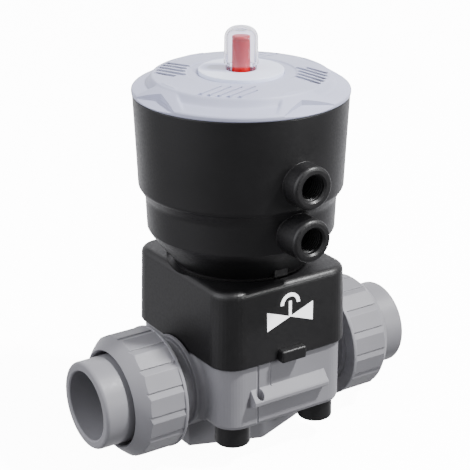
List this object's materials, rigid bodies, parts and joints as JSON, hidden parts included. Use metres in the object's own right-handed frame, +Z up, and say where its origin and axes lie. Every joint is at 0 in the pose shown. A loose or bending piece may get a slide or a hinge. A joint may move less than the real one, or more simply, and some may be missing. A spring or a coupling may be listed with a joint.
{
  "type": "diaphragm valve",
  "caption": "Diaphragm valve for plastic pipe: ribbed union nuts and sockets, bolted black bonnet, round pneumatic actuator with side air ports, clear cap over a red indicator.",
  "frame": {"origin": "centre of the foot's underside, below the crossing of pipe axis and actuator axis", "axes": "+X along the pipe, -Y towards the air ports, +Z up the actuator axis"},
  "size_m": [0.168, 0.1052, 0.1963],
  "materials": {
    "body_grey": "fine satin moulded PVC-U",
    "black_plastic": "satin glass-filled polypropylene",
    "lid_grey": "satin light grey moulded plastic",
    "disc_white": "satin off-white",
    "clear_plastic": "clear moulded polycarbonate",
    "indicator_red": "glossy red",
    "mark_white": "printed white",
    "steel": "stainless steel",
    "brass": "turned brass",
    "rubber": "black EPDM",
    "inner_plastic": "grey moulded plastic",
    "bearing_plastic": "natural bearing plastic"
  },
  "bodies": {
    "valve": {"valve_body": "body_grey", "foot_inserts": "brass", "body_bolts": "steel", "bolt_washers": "steel", "bolt_caps": "black_plastic", "bonnet_inserts": "brass", "end_connector_left": "body_grey", "end_connector_right": "body_grey", "union_seal_left": "rubber", "union_seal_right": "rubber", "diaphragm": "rubber", "bonnet": "black_plastic", "flow_mark": "mark_white", "lock_clip": "black_plastic", "actuator_housing": "black_plastic", "lock_tab": "black_plastic", "housing_screws": "steel", "housing_seal": "rubber", "rod_bush": "bearing_plastic", "rod_seal": "rubber", "outer_spring": "steel", "inner_spring": "steel", "cylinder_cover": "inner_plastic", "cover_seal": "rubber", "stem_seal": "rubber", "actuator_lid": "lid_grey", "centre_disc": "disc_white"},
    "drive": {"diaphragm_stud": "steel", "compressor": "inner_plastic", "compressor_pin": "steel", "piston_rod": "steel", "piston": "inner_plastic", "piston_seal": "rubber", "wear_ring": "bearing_plastic", "piston_washer": "steel", "piston_nut": "steel", "indicator_stem": "indicator_red"},
    "nut_left": {"union_nut_left": "body_grey"},
    "nut_right": {"union_nut_right": "body_grey"},
    "cap": {"indicator_cap": "clear_plastic"}
  },
  "joints": [
    {"name": "piston_slide", "type": "slide", "parent": "valve", "child": "drive", "axis": [0, 0, 1], "range_m": [-0.011, 0], "stiffness_N_per_m": 5000, "springref_m": 0.016, "deforming": ["outer_spring", "inner_spring", "diaphragm"]},
    {"name": "left_nut_turn", "type": "hinge", "parent": "valve", "child": "nut_left", "pos_m": [-0.06, 0, 0.033], "axis": [-1, 0, 0], "continuous": true},
    {"name": "right_nut_turn", "type": "hinge", "parent": "valve", "child": "nut_right", "pos_m": [0.06, 0, 0.033], "axis": [1, 0, 0], "continuous": true},
    {"name": "cap_turn", "type": "hinge", "parent": "valve", "child": "cap", "pos_m": [0, 0, 0.175], "axis": [0, 0, 1], "continuous": true}
  ]
}
